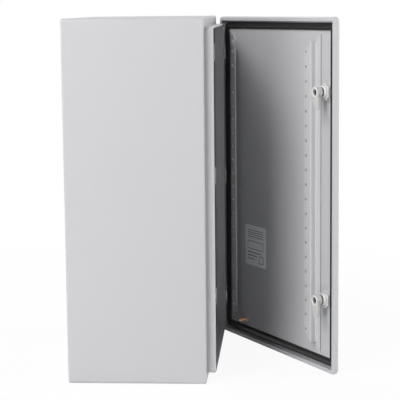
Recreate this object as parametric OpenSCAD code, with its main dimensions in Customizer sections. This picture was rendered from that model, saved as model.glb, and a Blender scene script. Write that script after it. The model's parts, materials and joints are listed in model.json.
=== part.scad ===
/* [Cabinet] */
// Overall width, facing the door
cabinet_w = 400; // [300:1:600]
// Overall height
cabinet_h = 600; // [480:1:800]
// Overall depth with the door shut
cabinet_d = 250; // [180:1:400]
// Thickness of the body and door sheet
sheet_t = 1.5; // [1:0.1:2]
// Outside radius of the bends between roof, floor and side walls
body_corner_r = 5; // [4:0.5:8]
// Outside radius of the bends at the rear edges
rear_bend_r = 3; // [2.5:0.1:4]
// Outside radius of the bends at the front edges
front_bend_r = 2.5; // [2.2:0.1:4]
// Width of the rear edge flange that the rear panel is welded into
rear_flange_w = 14; // [10:0.5:20]

/* [Rain channel] */
// Distance from the outside of the body to the outer face of the sealing lip
lip_inset = 15; // [14:0.5:20]
// Length of the hem folded back inside the lip
hem_h = 6; // [4:0.5:9]
// Corner radius of the lip seen from the front
lip_corner_r = 6; // [4:0.5:12]

/* [Door] */
// Angle that the door stands open
door_open = 31; // [0:1:110]
// Depth of the door tray
door_t = 11.5; // [10:0.1:14]
// Gap between the shut door's rim and the front flange
door_gap = 9; // [8:0.1:11]
// Distance that the door edge stays inside the body outline
door_clear = 1.5; // [1:0.1:2]
// Corner radius of the door seen from the front
door_corner_r = 8; // [7.6:0.1:14]
// Outside radius of the door's front edges
door_edge_r = 6; // [4:0.5:6.5]
// Outside radius of the bend at the rim
rim_bend_r = 2.5; // [2.2:0.1:3]
// Width of the return flange along the rim
rim_w = 7.5; // [6:0.1:7.5]

/* [Gasket] */
// Distance from the door edge to the foam gasket
gasket_in = 10; // [9.8:0.1:11]
// Width of the foam gasket
gasket_w = 12.5; // [11:0.1:16]
// Thickness of the foam under the shut lip
foam_t = 3.4; // [2.5:0.1:3.8]
// Height of the two foam ridges
gasket_h = 4.6; // [4.2:0.1:5]
// Corner radius of the gasket seen from the front
gasket_corner_r = 13; // [12.5:0.5:20]
// Clearance between the lip's nose and the floor of its groove
gasket_clear = 0.3; // [0.3:0.05:0.6]
// Clearance beside the lip in its groove
groove_clear = 1.2; // [1:0.1:1.4]

/* [Hinges] */
// Distance of the hinge axis from the side of the body
hinge_in = 7.5; // [7:0.1:8]
// Distance of the hinge axis below the rim of the shut door
hinge_below = 2; // [1.5:0.1:2.5]
// Distance of the outer hinges from the top and bottom of the cabinet
hinge_end = 68; // [50:1:120]
// Radius of the hinge pin
pin_r = 2; // [1.5:0.1:2.2]
// Radial clearance of the pin in the hinge block
pin_run = 0.06; // [0.02:0.01:0.1]
// Radial clearance of the pin in the hinge leaf
pin_seat = 0.02; // [0.01:0.01:0.05]
// Outside radius of the hinge knuckles
knuckle_r = 3.6; // [3.4:0.1:3.8]
// Height of the hinge block
block_h = 24; // [20:1:30]
// Thickness of the hinge leaf's two ears
ear_t = 3.5; // [2.5:0.1:5]
// Height of the bracket behind the front flange
bracket_h = 32; // [30:1:44]

/* [Door rails] */
// Distance of the two perforated rails' ends from the top and bottom of the door
rail_end = 42.5; // [38:0.5:80]
// Height of the rail's hole flange above the door skin
rail_h = 11.5; // [9:0.1:14]
// Distance from the hinge edge to the hinge side rail's web
rail_hinge_at = 46.7; // [42:0.1:60]
// Distance from the free edge to the lock side rail's web
rail_lock_at = 71.7; // [66:0.1:90]
// Width of the hole flange on the hinge side rail
rail_hinge_w = 15; // [13:0.5:22]
// Width of the hole flange on the lock side rail
rail_lock_w = 20; // [18:0.5:24]
// Distance from the web to the holes on the hinge side rail
hole_hinge_at = 6.3; // [5.5:0.1:8]
// Distance from the web to the holes on the lock side rail
hole_lock_at = 14.5; // [10:0.1:15]
// Radius of the rail holes
hole_r = 2.25; // [1.5:0.05:2.5]
// Pitch of the rail holes
hole_pitch = 25; // [20:1:30]
// Least distance of the end holes from the rail's ends
hole_end = 18; // [18:1:40]

/* [Locks] */
// Distance from the free edge of the door to the lock axes
lock_in = 36.5; // [36.5:0.5:45]
// Distance of the locks from the top and bottom of the cabinet
lock_end = 125; // [90:1:200]
// Radius of the lock barrel
barrel_r = 11; // [10:0.1:12]
// Radius of the lock spindle
spindle_r = 5; // [4.5:0.1:6]
// Radial clearance of the spindle in its barrel
spindle_run = 0.06; // [0.02:0.01:0.1]
// Distance from the lock axis to the tip of the tongue
tongue_l = 28; // [26:0.5:30]
// Thickness of the tongue
tongue_t = 4; // [3:0.1:5]
// Clearance of the shut tongue behind the front flange
tongue_clear = 0.8; // [0.5:0.1:1.5]

/* [Rear and floor fittings] */
// Distance of the wall fixing holes from the rear panel's edges
wall_hole_in = 8; // [7:0.5:40]
// Radius of the wall fixing holes
wall_hole_r = 4.5; // [3.5:0.1:5.5]
// Distance of the mounting plate from the outside of the side walls
plate_side = 35; // [25:1:60]
// Distance of the mounting plate from the outside of the roof and floor
plate_end = 25; // [22:1:60]
// Thickness of the mounting plate
plate_t = 2; // [1.5:0.1:3]
// Length of the spacers behind the mounting plate
spacer_l = 25; // [15:1:40]
// Distance of the cable opening in the floor from the outside of the side walls
gland_side = 70; // [50:1:120]
// Distance of the cable opening from the front and rear of the body
gland_end = 65; // [45:1:75]

/* [Door fittings] */
// Distance from the hinge edge to the middle of the label
label_at = 116; // [80:1:200]
// Height of the middle of the label, from the middle of the door
label_z = -120.7; // [-200:0.1:100]
// Side of the square label
label_w = 75; // [40:1:90]
// Distance from the hinge edge to the door's earth stud
stud_at = 81; // [75:1:120]
// Height of the door's earth stud above the bottom of the cabinet
stud_up = 36.5; // [33:0.5:60]
// Length of the door's earth stud above the door skin
stud_l = 18; // [12:0.5:22]

/* [Hidden] */
$fn = 64;

// Clearance between pieces that stand side by side
side_clear = 0.3;
// Small extra length that lets a cut pass right through
cut = 1;

body_d = cabinet_d - door_t - door_gap;
door_w = cabinet_w - 2 * door_clear;
door_h = cabinet_h - 2 * door_clear;
// Height of the door's rim and of the shut front flange's rear face above the door's inner skin
rim_up = door_t - sheet_t;
flange_up = rim_up + door_gap + sheet_t;
axis_x = cabinet_w / 2 - hinge_in;
hinge_out = door_gap + hinge_below;
axis_y = -(body_d + hinge_out);
// The hinge axis seen from the door: from its hinge edge and above its inner skin
axis_u = hinge_in - door_clear;
axis_up = rim_up - hinge_below;
hinge_spread = cabinet_h / 2 - hinge_end;
hinge_heights = [hinge_spread, 0, -hinge_spread];
lock_spread = cabinet_h / 2 - lock_end;
lock_heights = [lock_spread, -lock_spread];
lock_u = door_w - lock_in;

// Lip that reaches the foam when the door is shut: its hem is twice the sheet thick, with a round nose
lip_h = rim_up + door_gap - foam_t - gasket_clear;
hem_t = 2 * sheet_t;
nose_y = body_d + lip_h;
// The groove that the shut lip sits in, measured from the gasket's outer edge
groove_start = lip_inset - door_clear - gasket_in - groove_clear;
groove_end = groove_start + hem_t + 2 * groove_clear;
ridge_r = 1.1;

block_x0 = -(lip_inset - hinge_in) + side_clear;
block_x1 = -1;
block_front = -2.5;
// Notch in the rim round each hinge: half height and depth below the rim
ear_low = block_h / 2 + side_clear;
notch_clear = 0.7;
pin_head_r = 3;
pin_head_t = 1.4;
pin_tail = 1;
notch_half = ear_low + ear_t + pin_head_t + notch_clear;
notch_deep = hinge_below - block_front + notch_clear;
leaf_over = 4;
leaf_foot_half = ear_low + ear_t + leaf_over;
leaf_foot_t = 2;

bracket_t = 2.5;
bracket_leg = 16;
screw_r = 2;
screw_gap = 0.1;
screw_at = (block_x0 + block_x1) / 2;
screw_pitch = 13;
screw_depth = 7;
screw_head_r = 3.5;
screw_head_t = 2.4;
bracket_hole_r = 1.6;
bracket_hole_in = 5.2;
bracket_hole_z = 8.9;

rail_l = door_h - 2 * rail_end;
rail_bend_r = 2.4;
rail_weld_w = 17;
rail_weld_hinge_w = 15;
rail_slant = 14;
rail_chamfer = 16;
hole_count = floor((rail_l - 2 * hole_end) / hole_pitch) + 1;
hole_margin = (rail_l - hole_pitch * (hole_count - 1)) / 2;
// How far the row of holes is off the rail's middle: down on the hinge side, up on the lock side
hole_shift = 2.8;

head_r = 16;
head_t = 2.5;
seal_t = 1;
seal_in = 1;
barrel_end = 12.5;
barrel_gap = 0.4;
nut_af = 27;
nut_t = 8;
hub_r = 9;
hub_gap = 0.5;
hub_start = barrel_end + hub_gap;
hub_over = 1;
tongue_low = flange_up + tongue_clear;
hub_end = tongue_low + tongue_t + hub_over;
tongue_half = 8.7;
tongue_bevel = 5.3;
tongue_bevel_l = 9.7;
cam_screw_r = 3;
cam_head_r = 5;
cam_head_t = 3.2;
cam_recess_r = 5.6;
cam_recess_t = 6;
cam_seat_t = 2;
cam_seat = hub_end - cam_recess_t;
drive_end = cam_seat - cam_seat_t;
socket_af = 5;
socket_deep = 2;
square_half = 3.4;
square_gap = 0.1;
key_recess_r = 5;
key_recess_t = 6;
key_rim = 1.2;
key_wall = 2;

thread_gap = 0.1;
hole_gap = 0.5;
stud_r = 4;
nut8_af = 13;
nut8_t = 6.5;
nut6_af = 10;
nut6_t = 5;
spacer_r = 7.5;
wall_hole_w = cabinet_w - 2 * (rear_flange_w + wall_hole_in);
wall_hole_h = cabinet_h - 2 * (rear_flange_w + wall_hole_in);
plate_w = cabinet_w - 2 * plate_side;
plate_h = cabinet_h - 2 * plate_end;
plate_hole_in = 20;
plate_hole_w = plate_w - 2 * plate_hole_in;
plate_hole_h = plate_h - 2 * plate_hole_in;
stud_over = 6.5;
plate_stud_l = spacer_l + plate_t + nut8_t + stud_over;
gland_w = cabinet_w - 2 * gland_side;
gland_d = body_d - 2 * gland_end;
gland_rim = 20;
gland_seal_t = 3;
gland_plate_t = 2;
gland_y = -body_d / 2;
gland_stud_r = 3;
gland_stud_over = 3;
gland_stud_l = gland_seal_t + gland_plate_t + nut6_t + gland_stud_over;
gland_corner_r = 6;
earth_behind = 32;
earth_up = 45;
earth_l = 16;
earth_washer_r = 8;
earth_washer_t = 1.6;
jam_nut_t = 4;
collar_r = 5.5;
collar_t = 1.2;
door_stud_r = 3;
label_t = 0.4;
label_r = 4;

paint = [0.81, 0.82, 0.82];
foam = [0.06, 0.06, 0.065];
zinc = [0.72, 0.73, 0.74];
steel = [0.58, 0.59, 0.6];
galvanised = [0.66, 0.68, 0.69];
copper = [0.72, 0.42, 0.24];
rubber = [0.1, 0.1, 0.1];
label_grey = [0.6, 0.62, 0.64];

// Seen from the rear panel: x to the right, y up, z forward out of the cabinet
module from_rear() {
    rotate([90, 0, 0]) children();
}

// Turns a shape from the shut door to the open one
module on_door() {
    translate([axis_x, axis_y, 0])
        rotate([0, 0, door_open])
            translate([-axis_x, -axis_y, 0])
                children();
}

// On the door's inner skin: x from the hinge edge, y up from mid height, z off the skin
module on_skin(u = 0, up = 0) {
    on_door()
        translate([door_w / 2 - u, -(cabinet_d - sheet_t), up])
            rotate([90, 0, 180])
                children();
}

// Round the hinge axis at a height, in the body's directions
module at_hinge(up) {
    translate([axis_x, axis_y, up]) children();
}

// Round the hinge axis on the open door: x towards the side, y towards the rear when the door is shut
module at_door_hinge(up) {
    at_hinge(up) rotate([0, 0, door_open]) children();
}

// A quarter of a bent sheet in section, its two signs saying which quarter
module bend(r, t, right, high) {
    intersection() {
        difference() {
            circle(r);
            circle(r - t);
        }
        translate([right ? 0 : -r, high ? 0 : -r]) square(r);
    }
}

// Carries a section round a rectangle with round corners: its x runs outwards from the corner centres
module round_frame(w, h, r) {
    for (side = [0:3]) {
        out = (side % 2 == 0 ? w : h) / 2 - r;
        half = (side % 2 == 0 ? h : w) / 2 - r;
        rotate([0, 0, 90 * side]) {
            translate([out, half, 0])
                rotate([90, 0, 0])
                    linear_extrude(2 * half) children();
            translate([out, half, 0])
                rotate_extrude(angle = 90) children();
        }
    }
}

// A flat plate with round corners, standing on its middle
module round_plate(w, h, r, t) {
    union() {
        translate([-w / 2 + r, -h / 2, 0]) cube([w - 2 * r, h, t]);
        translate([-w / 2, -h / 2 + r, 0]) cube([w, h - 2 * r, t]);
        for (x = [-1, 1], y = [-1, 1])
            translate([x * (w / 2 - r), y * (h / 2 - r), 0]) cylinder(r = r, h = t);
    }
}

// A flat plate with cut corners, standing on its middle
module chamfer_plate(w, h, c, t) {
    x = w / 2;
    y = h / 2;
    linear_extrude(t) polygon([
        [x, y - c], [x - c, y], [c - x, y], [-x, y - c],
        [-x, c - y], [c - x, -y], [x - c, -y], [x, c - y]
    ]);
}

// A flat ring between two rectangles
module flat_ring(w, h, inner_w, inner_h, t) {
    difference() {
        translate([-w / 2, -h / 2, 0]) cube([w, h, t]);
        translate([-inner_w / 2, -inner_h / 2, -cut]) cube([inner_w, inner_h, t + 2 * cut]);
    }
}

// A hexagon nut with a plain bore
module hex_nut(af, t, bore) {
    difference() {
        cylinder(r = af / sqrt(3), h = t, $fn = 6);
        translate([0, 0, -cut]) cylinder(r = bore, h = t + 2 * cut);
    }
}

// Places children at the four corners of a rectangle
module corners(w, h) {
    for (x = [-1, 1], y = [-1, 1])
        translate([x * w / 2, y * h / 2, 0]) children();
}

// Section of the side walls with their rear and front bends
module wall_section() {
    r = body_corner_r;
    translate([r - sheet_t, rear_bend_r]) square([sheet_t, body_d - rear_bend_r - front_bend_r]);
    translate([r - rear_bend_r, rear_bend_r]) bend(rear_bend_r, sheet_t, true, false);
    square([r - rear_bend_r, sheet_t]);
    translate([r - front_bend_r, body_d - front_bend_r]) bend(front_bend_r, sheet_t, true, true);
    translate([0, body_d - sheet_t]) square([r - front_bend_r, sheet_t]);
}

// Section of the sealing lip with its hem and round nose
module lip_section() {
    r = lip_corner_r;
    translate([r - sheet_t, body_d - sheet_t]) square([sheet_t, lip_h]);
    translate([r - hem_t, nose_y - hem_h]) square([hem_t, hem_h - sheet_t]);
    translate([r - sheet_t, nose_y - sheet_t]) intersection() {
        circle(sheet_t);
        translate([-sheet_t, 0]) square([hem_t, sheet_t]);
    }
}

module body_shell() {
    flat_w = cabinet_w - 2 * body_corner_r;
    flat_h = cabinet_h - 2 * body_corner_r;
    lip_w = cabinet_w - 2 * lip_inset;
    lip_tall = cabinet_h - 2 * lip_inset;
    color(paint)
        difference() {
            from_rear() union() {
                round_frame(cabinet_w, cabinet_h, body_corner_r) wall_section();
                flat_ring(flat_w, flat_h, cabinet_w - 2 * rear_flange_w,
                    cabinet_h - 2 * rear_flange_w, sheet_t);
                translate([0, 0, body_d - sheet_t]) difference() {
                    translate([-flat_w / 2, -flat_h / 2, 0]) cube([flat_w, flat_h, sheet_t]);
                    translate([0, 0, -cut])
                        chamfer_plate(lip_w - sheet_t, lip_tall - sheet_t,
                            (lip_corner_r - sheet_t / 2) * (2 - sqrt(2)), sheet_t + 2 * cut);
                }
                round_frame(lip_w, lip_tall, lip_corner_r) lip_section();
            }
            translate([0, gland_y, -cabinet_h / 2 - cut])
                round_plate(gland_w, gland_d, gland_corner_r, sheet_t + 2 * cut);
            for (up = hinge_heights) hinge_screw_cuts(up, screw_r + screw_gap);
        }
}

// Rods through a hinge's two screw holes, forward from behind the front flange
module hinge_screw_cuts(up, r) {
    for (side = [-1, 1])
        translate([axis_x + screw_at, -(body_d - sheet_t - bracket_t - cut), up + side * screw_pitch / 2])
            rotate([90, 0, 0])
                cylinder(r = r, h = bracket_t + sheet_t + 2 * cut);
}

module rear_panel() {
    w = cabinet_w - 2 * rear_flange_w;
    h = cabinet_h - 2 * rear_flange_w;
    color(paint) from_rear() difference() {
        translate([-w / 2, -h / 2, 0]) cube([w, h, sheet_t]);
        corners(wall_hole_w, wall_hole_h)
            translate([0, 0, -cut]) cylinder(r = wall_hole_r, h = sheet_t + 2 * cut);
    }
}

module mounting_plate() {
    color(galvanised) from_rear() translate([0, 0, sheet_t + spacer_l]) difference() {
        translate([-plate_w / 2, -plate_h / 2, 0]) cube([plate_w, plate_h, plate_t]);
        corners(plate_hole_w, plate_hole_h)
            translate([0, 0, -cut]) cylinder(r = stud_r + hole_gap, h = plate_t + 2 * cut);
    }
}

module mounting_studs() {
    color(zinc) from_rear() corners(plate_hole_w, plate_hole_h)
        translate([0, 0, sheet_t]) cylinder(r = stud_r, h = plate_stud_l);
}

module mounting_spacers() {
    color(zinc) from_rear() corners(plate_hole_w, plate_hole_h)
        translate([0, 0, sheet_t]) difference() {
            cylinder(r = spacer_r, h = spacer_l);
            translate([0, 0, -cut]) cylinder(r = stud_r + thread_gap, h = spacer_l + 2 * cut);
        }
}

module mounting_nuts() {
    color(zinc) from_rear() corners(plate_hole_w, plate_hole_h)
        translate([0, 0, sheet_t + spacer_l + plate_t]) hex_nut(nut8_af, nut8_t, stud_r + thread_gap);
}

// On the inside of the floor, in the middle of the cable opening
module on_floor() {
    translate([0, gland_y, -cabinet_h / 2 + sheet_t]) children();
}

// Places children at the six gland plate studs
module gland_stud_places() {
    for (x = [-1, 0, 1], y = [-1, 1])
        translate([x * (gland_w + gland_rim) / 2, y * (gland_d + gland_rim) / 2, 0]) children();
}

module gland_seal() {
    color(rubber) on_floor() difference() {
        round_plate(gland_w + 2 * gland_rim, gland_d + 2 * gland_rim, gland_corner_r, gland_seal_t);
        translate([0, 0, -cut]) round_plate(gland_w, gland_d, gland_corner_r, gland_seal_t + 2 * cut);
        gland_stud_places()
            translate([0, 0, -cut]) cylinder(r = gland_stud_r + thread_gap, h = gland_seal_t + 2 * cut);
    }
}

module gland_plate() {
    color(galvanised) on_floor() translate([0, 0, gland_seal_t]) difference() {
        round_plate(gland_w + 2 * gland_rim, gland_d + 2 * gland_rim, gland_corner_r, gland_plate_t);
        gland_stud_places()
            translate([0, 0, -cut]) cylinder(r = gland_stud_r + hole_gap, h = gland_plate_t + 2 * cut);
    }
}

module gland_studs() {
    color(zinc) on_floor() gland_stud_places() cylinder(r = gland_stud_r, h = gland_stud_l);
}

module gland_nuts() {
    color(zinc) on_floor() gland_stud_places()
        translate([0, 0, gland_seal_t + gland_plate_t]) hex_nut(nut6_af, nut6_t, gland_stud_r + thread_gap);
}

// Block screwed into the rain channel, with the knuckle that the pin turns in
module hinge_block(up) {
    color(zinc) at_hinge(up) difference() {
        union() {
            translate([block_x0, block_front, -block_h / 2])
                cube([block_x1 - block_x0, hinge_out - block_front, block_h]);
            translate([0, 0, -block_h / 2]) cylinder(r = knuckle_r, h = block_h);
        }
        translate([0, 0, -block_h / 2 - cut]) cylinder(r = pin_r + pin_run, h = block_h + 2 * cut);
        for (side = [-1, 1])
            translate([screw_at, hinge_out + cut, side * screw_pitch / 2])
                rotate([90, 0, 0])
                    cylinder(r = screw_r + screw_gap, h = screw_depth + screw_gap + cut);
    }
}

// Angle bracket behind the front flange, one leg along the side wall
module hinge_bracket(up) {
    back = -(body_d - sheet_t);
    wall_x = cabinet_w / 2 - sheet_t;
    start_x = axis_x + block_x0;
    bend_in = front_bend_r - sheet_t;
    color(zinc) difference() {
        union() {
            translate([start_x, back, up - bracket_h / 2])
                cube([wall_x - bend_in - start_x, bracket_t, bracket_h]);
            translate([wall_x - bracket_t, back + bend_in, up - bracket_h / 2])
                cube([bracket_t, bracket_leg - bend_in, bracket_h]);
        }
        hinge_screw_cuts(up, screw_r + screw_gap);
        for (side = [-1, 1])
            translate([wall_x - bracket_t - cut, back + bracket_hole_in, up + side * bracket_hole_z])
                rotate([0, 90, 0]) cylinder(r = bracket_hole_r, h = bracket_t + 2 * cut);
    }
}

module hinge_screws() {
    seat = -(body_d - sheet_t - bracket_t);
    color(steel)
        for (up = hinge_heights, side = [-1, 1])
            translate([axis_x + screw_at, seat, up + side * screw_pitch / 2]) rotate([90, 0, 0]) {
                cylinder(r = screw_r, h = bracket_t + sheet_t + screw_depth);
                translate([0, 0, -screw_head_t]) cylinder(r = screw_head_r, h = screw_head_t);
            }
}

// Inside the side wall on the hinge side, pointing into the cabinet
module at_body_earth() {
    translate([cabinet_w / 2 - sheet_t, earth_behind - body_d, earth_up - cabinet_h / 2])
        rotate([0, -90, 0]) children();
}

module body_earth_stud() {
    color(copper) at_body_earth() cylinder(r = stud_r, h = earth_l);
}

module body_earth_jam_nut() {
    color(zinc) at_body_earth() hex_nut(nut8_af, jam_nut_t, stud_r + thread_gap);
}

module body_earth_washer() {
    color(zinc) at_body_earth() translate([0, 0, jam_nut_t]) difference() {
        cylinder(r = earth_washer_r, h = earth_washer_t);
        translate([0, 0, -cut]) cylinder(r = stud_r + thread_gap, h = earth_washer_t + 2 * cut);
    }
}

module body_earth_nut() {
    color(zinc) at_body_earth()
        translate([0, 0, jam_nut_t + earth_washer_t]) hex_nut(nut8_af, nut8_t, stud_r + thread_gap);
}

// Section of the door edge: front edge, side wall, rim bend and return flange
module door_section() {
    r = door_corner_r;
    translate([0, -sheet_t]) square([r - door_edge_r, sheet_t]);
    translate([r - door_edge_r, door_edge_r - sheet_t]) bend(door_edge_r, sheet_t, true, false);
    translate([r - sheet_t, door_edge_r - sheet_t])
        square([sheet_t, door_t - door_edge_r - rim_bend_r]);
    translate([r - rim_bend_r, rim_up - rim_bend_r]) bend(rim_bend_r, sheet_t, true, true);
    translate([r - rim_w, rim_up - sheet_t]) square([rim_w - rim_bend_r, sheet_t]);
}

module door_shell() {
    flat_w = door_w - 2 * door_corner_r;
    flat_h = door_h - 2 * door_corner_r;
    color(paint) difference() {
        on_skin(door_w / 2) union() {
            round_frame(door_w, door_h, door_corner_r) door_section();
            translate([-flat_w / 2, -flat_h / 2, -sheet_t]) cube([flat_w, flat_h, sheet_t]);
        }
        for (up = hinge_heights)
            on_skin(-cut, up)
                translate([0, -notch_half, rim_up - notch_deep])
                    cube([rim_w + 2 * cut, 2 * notch_half, notch_deep + cut]);
        for (up = lock_heights)
            on_skin(lock_u, up)
                translate([0, 0, -sheet_t - cut])
                    cylinder(r = barrel_r + barrel_gap, h = sheet_t + 2 * cut);
    }
}

// Section of the foam: a flat bed with a ridge each side of the lip's groove
module gasket_section() {
    r = gasket_corner_r;
    translate([r - gasket_w, 0]) square([gasket_w, foam_t]);
    translate([r - groove_start, 0]) ridge(groove_start);
    translate([r - gasket_w, 0]) ridge(gasket_w - groove_end);
}

// One foam ridge with round shoulders
module ridge(w) {
    shoulder = min(ridge_r, w / 2);
    square([w, gasket_h - shoulder]);
    translate([shoulder, 0]) square([w - 2 * shoulder, gasket_h]);
    for (x = [shoulder, w - shoulder])
        translate([x, gasket_h - shoulder]) circle(shoulder);
}

module door_gasket() {
    color(foam) on_skin(door_w / 2)
        round_frame(door_w - 2 * gasket_in, door_h - 2 * gasket_in, gasket_corner_r) gasket_section();
}

// One flange of a rail: x off the bend, y along it, each end of its free edge longer by the slant
module rail_flange(w, slant) {
    near = rail_l / 2;
    far = near + slant;
    linear_extrude(sheet_t)
        polygon([[rail_bend_r, -near], [w, -far], [w, far], [rail_bend_r, near]]);
}

// A Z rail: x from the outer face of its web towards the hole flange, y along it, z off the skin
module door_rail(hole_w, weld_w, hole_at, shift) {
    union() {
        translate([0, -rail_l / 2, rail_bend_r])
            cube([sheet_t, rail_l, rail_h - 2 * rail_bend_r]);
        translate([rail_bend_r, rail_l / 2, rail_h - rail_bend_r])
            rotate([90, 0, 0]) linear_extrude(rail_l) bend(rail_bend_r, sheet_t, false, true);
        translate([sheet_t - rail_bend_r, rail_l / 2, rail_bend_r])
            rotate([90, 0, 0]) linear_extrude(rail_l) bend(rail_bend_r, sheet_t, true, false);
        translate([0, 0, rail_h - sheet_t]) difference() {
            rail_flange(hole_w, -rail_chamfer);
            for (k = [0:hole_count - 1])
                translate([hole_at, rail_l / 2 - hole_margin - shift - k * hole_pitch, -cut])
                    cylinder(r = hole_r, h = sheet_t + 2 * cut);
        }
        translate([sheet_t, 0, 0]) mirror([1, 0, 0]) rail_flange(weld_w, rail_slant);
    }
}

module door_rail_hinge_side() {
    color(paint) on_skin(rail_hinge_at)
        door_rail(rail_hinge_w, rail_weld_hinge_w, hole_hinge_at, hole_shift);
}

module door_rail_lock_side() {
    color(paint) on_skin(door_w - rail_lock_at)
        rotate([0, 0, 180]) door_rail(rail_lock_w, rail_weld_w, hole_lock_at, hole_shift);
}

// Leaf welded into the door's edge channel, with an ear above and below the block
module hinge_leaf(up) {
    foot_w = gasket_in - door_edge_r - side_clear;
    color(zinc) at_door_hinge(up) union() {
        translate([axis_u - door_edge_r - foot_w, -axis_up, -leaf_foot_half])
            cube([foot_w, leaf_foot_t, 2 * leaf_foot_half]);
        for (side = [-1, 1])
            translate([0, 0, side > 0 ? ear_low : -ear_low - ear_t]) difference() {
                union() {
                    cylinder(r = knuckle_r, h = ear_t);
                    translate([axis_u - door_edge_r - foot_w, -axis_up, 0]) cube([foot_w, axis_up, ear_t]);
                }
                translate([0, 0, -cut]) cylinder(r = pin_r + pin_seat, h = ear_t + 2 * cut);
            }
    }
}

module hinge_pin(up) {
    end = ear_low + ear_t;
    color(steel) at_door_hinge(up) union() {
        translate([0, 0, -end - pin_tail]) cylinder(r = pin_r, h = 2 * end + pin_tail);
        translate([0, 0, end]) cylinder(r = pin_head_r, h = pin_head_t);
    }
}

module door_earth_stud() {
    color(copper) on_skin(stud_at, stud_up - cabinet_h / 2) cylinder(r = door_stud_r, h = stud_l);
}

module door_earth_collar() {
    color(zinc) on_skin(stud_at, stud_up - cabinet_h / 2) difference() {
        cylinder(r = collar_r, h = collar_t);
        translate([0, 0, -cut]) cylinder(r = door_stud_r + thread_gap, h = collar_t + 2 * cut);
    }
}

module rating_label() {
    color(label_grey) on_skin(label_at, label_z) round_plate(label_w, label_w, label_r, label_t);
}

// On a lock's axis, with z off the door's inner skin
module at_lock(up) {
    on_skin(lock_u, up) children();
}

// Barrel through the door with a round head outside, bored for the spindle
module lock_housing(up) {
    face = -sheet_t - seal_t;
    color(zinc) at_lock(up) difference() {
        union() {
            translate([0, 0, face - head_t]) cylinder(r = head_r, h = head_t);
            translate([0, 0, face]) cylinder(r = barrel_r, h = barrel_end - face);
        }
        translate([0, 0, face - head_t - cut])
            cylinder(r = spindle_r + spindle_run, h = barrel_end - face + head_t + 2 * cut);
        translate([0, 0, face - head_t - cut])
            cylinder(r = spindle_r + key_wall + spindle_run, h = key_recess_t + cut);
    }
}

module lock_seal(up) {
    color(rubber) at_lock(up) translate([0, 0, -sheet_t - seal_t]) difference() {
        cylinder(r = head_r - seal_in, h = seal_t);
        translate([0, 0, -cut]) cylinder(r = barrel_r + thread_gap, h = seal_t + 2 * cut);
    }
}

module lock_nut(up) {
    color(zinc) at_lock(up) rotate([0, 0, 30]) hex_nut(nut_af, nut_t, barrel_r + thread_gap);
}

// Spindle with a keyed head outside and a square that drives the cam
module lock_spindle(up) {
    low = -sheet_t - seal_t - head_t;
    head_top = low + key_recess_t - thread_gap;
    neck_low = low + key_recess_t - key_rim;
    square_low = barrel_end - key_rim;
    color(steel) at_lock(up) union() {
        difference() {
            translate([0, 0, low]) cylinder(r = spindle_r + key_wall, h = head_top - low);
            translate([0, 0, low - cut]) cylinder(r = key_recess_r, h = neck_low - low + cut);
        }
        translate([0, 0, low + key_rim]) cylinder(r = key_wall, h = key_recess_t - 2 * key_rim);
        translate([-key_recess_r + key_rim, -key_rim, low + key_rim])
            cube([2 * (key_recess_r - key_rim), 2 * key_rim, key_recess_t - 2 * key_rim]);
        difference() {
            union() {
                translate([0, 0, neck_low]) cylinder(r = spindle_r, h = barrel_end - neck_low);
                translate([-square_half, -square_half, square_low])
                    cube([2 * square_half, 2 * square_half, drive_end - square_low]);
            }
            translate([0, 0, barrel_end]) cylinder(r = cam_screw_r + thread_gap, h = drive_end);
        }
    }
}

// Outline of the tongue, hanging down from the axis, its tip bevelled on the hinge side
module tongue_outline() {
    polygon([
        [tongue_half, 0],
        [-tongue_half, 0],
        [-tongue_half, tongue_bevel_l - tongue_l],
        [tongue_bevel - tongue_half, -tongue_l],
        [tongue_half, -tongue_l]
    ]);
}

// Cam with a round hub and a tongue that swings behind the front flange
module lock_cam(up) {
    drive = square_half + square_gap;
    color(zinc) at_lock(up) difference() {
        union() {
            translate([0, 0, hub_start]) cylinder(r = hub_r, h = hub_end - hub_start);
            translate([0, 0, tongue_low]) linear_extrude(tongue_t) tongue_outline();
        }
        translate([-drive, -drive, hub_start - cut])
            cube([2 * drive, 2 * drive, drive_end + thread_gap - hub_start + cut]);
        translate([0, 0, hub_start]) cylinder(r = cam_screw_r + 2 * thread_gap, h = hub_end - hub_start);
        translate([0, 0, cam_seat]) cylinder(r = cam_recess_r, h = cam_recess_t + cut);
    }
}

// Socket head screw that holds the cam on the spindle
module cam_screw(up) {
    tip = barrel_end + thread_gap;
    color(steel) at_lock(up) difference() {
        union() {
            translate([0, 0, cam_seat]) cylinder(r = cam_head_r, h = cam_head_t);
            translate([0, 0, tip]) cylinder(r = cam_screw_r, h = cam_seat - tip);
        }
        translate([0, 0, cam_seat + cam_head_t - socket_deep])
            cylinder(r = socket_af / sqrt(3), h = socket_deep + cut, $fn = 6);
    }
}

body_shell();
rear_panel();
mounting_plate();
mounting_studs();
mounting_spacers();
mounting_nuts();
gland_plate();
gland_seal();
gland_studs();
gland_nuts();
hinge_block(hinge_heights[0]);  // hinge_block_top
hinge_block(hinge_heights[1]);  // hinge_block_middle
hinge_block(hinge_heights[2]);  // hinge_block_bottom
hinge_bracket(hinge_heights[0]);  // hinge_bracket_top
hinge_bracket(hinge_heights[1]);  // hinge_bracket_middle
hinge_bracket(hinge_heights[2]);  // hinge_bracket_bottom
hinge_screws();
body_earth_stud();
body_earth_jam_nut();
body_earth_washer();
body_earth_nut();
door_shell();
door_gasket();
door_rail_hinge_side();
door_rail_lock_side();
hinge_leaf(hinge_heights[0]);  // hinge_leaf_top
hinge_leaf(hinge_heights[1]);  // hinge_leaf_middle
hinge_leaf(hinge_heights[2]);  // hinge_leaf_bottom
hinge_pin(hinge_heights[0]);  // hinge_pin_top
hinge_pin(hinge_heights[1]);  // hinge_pin_middle
hinge_pin(hinge_heights[2]);  // hinge_pin_bottom
door_earth_stud();
door_earth_collar();
rating_label();
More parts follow.
